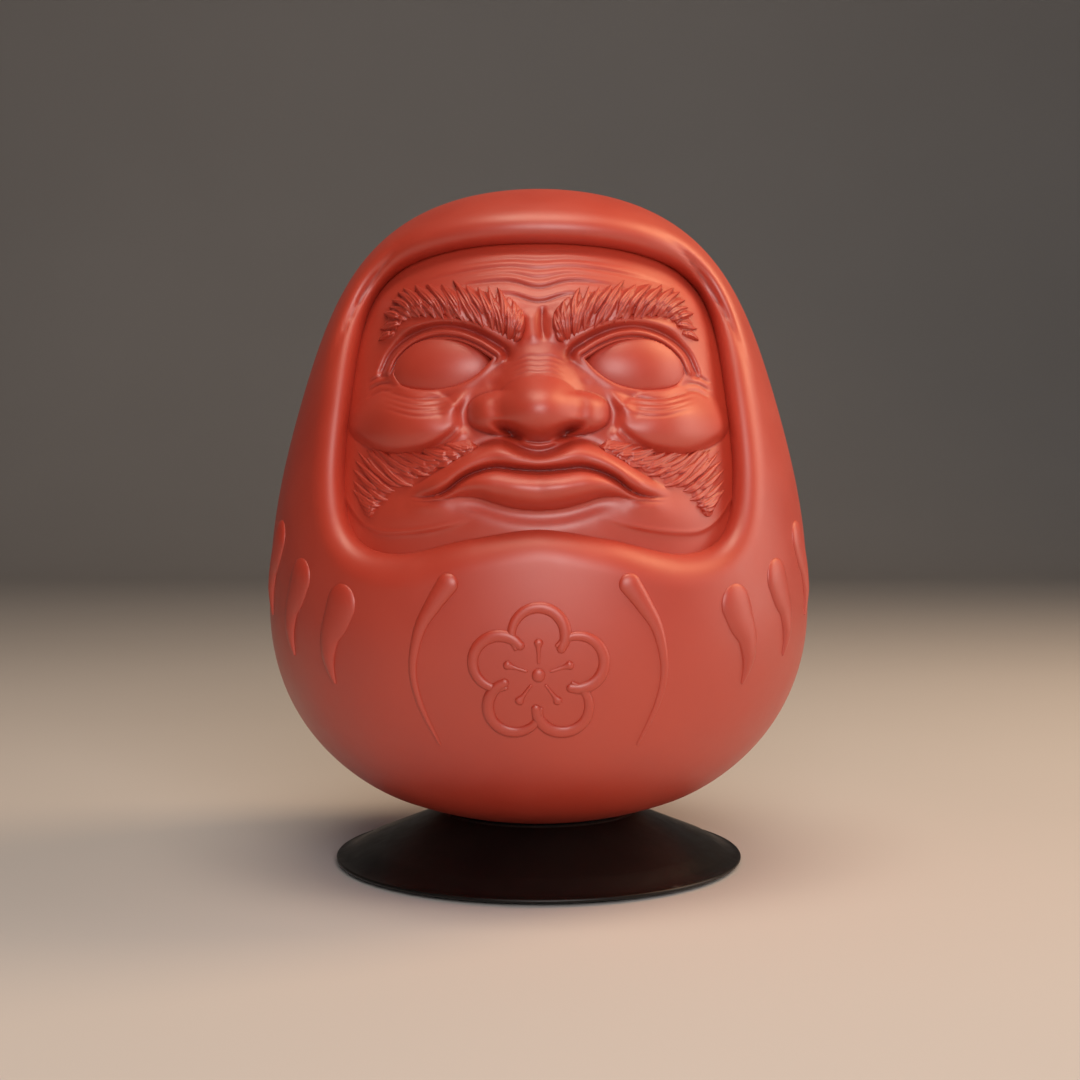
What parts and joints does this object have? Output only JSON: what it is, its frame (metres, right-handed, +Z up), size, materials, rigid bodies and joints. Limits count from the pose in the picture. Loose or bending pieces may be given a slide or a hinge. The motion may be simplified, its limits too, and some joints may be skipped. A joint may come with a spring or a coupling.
{
  "type": "daruma doll on a display stand",
  "caption": "Round-bottomed good-luck doll with a carved hooded face and a blossom on its chest, rocking in the seat of a low conical stand.",
  "frame": {"origin": "centre of the stand's underside, on the table", "axes": "+Z up, the doll's face looks along -Y, +X is the viewer's right"},
  "size_m": [0.1284, 0.1295, 0.16],
  "materials": {
    "doll_red": "satin, softly shining",
    "stand_black": "satin black",
    "seat_rubber": "matte",
    "pad_felt": "matte felt",
    "ballast_iron": "as cast",
    "screw_steel": "bright"
  },
  "bodies": {
    "stand": {"stand_cone": "stand_black", "stand_collar": "stand_black", "stand_hub": "stand_black", "stand_base_plate": "stand_black", "stand_screws": "screw_steel", "stand_foot_pad": "pad_felt"},
    "seat_cup": {"seat_cup": "stand_black"},
    "seat_ring": {"seat_ring": "seat_rubber"},
    "doll": {"front_shell": "doll_red", "rear_shell": "doll_red", "face_mask": "doll_red", "front_blossom": "doll_red", "ballast_weight": "ballast_iron", "ballast_washers": "screw_steel", "ballast_screws": "screw_steel", "left_eye": "doll_red", "left_eyebrow": "doll_red", "left_moustache": "doll_red", "left_bracket_stroke": "doll_red", "left_teardrop_front": "doll_red", "left_teardrop_middle": "doll_red", "left_teardrop_rear": "doll_red", "right_eye": "doll_red", "right_eyebrow": "doll_red", "right_moustache": "doll_red", "right_bracket_stroke": "doll_red", "right_teardrop_front": "doll_red", "right_teardrop_middle": "doll_red", "right_teardrop_rear": "doll_red"}
  },
  "joints": [
    {"name": "doll_turn", "type": "hinge", "parent": "stand", "child": "seat_cup", "pos_m": [0, 0, 0.005], "axis": [0, 0, 1], "continuous": true},
    {"name": "doll_lift", "type": "slide", "parent": "seat_cup", "child": "seat_ring", "axis": [0, 0, 1], "range_m": [0, 0.06]},
    {"name": "doll_rock", "type": "hinge", "parent": "seat_ring", "child": "doll", "pos_m": [0, 0, 0.1062], "axis": [0, 1, 0], "range_deg": [-9, 9]}
  ]
}
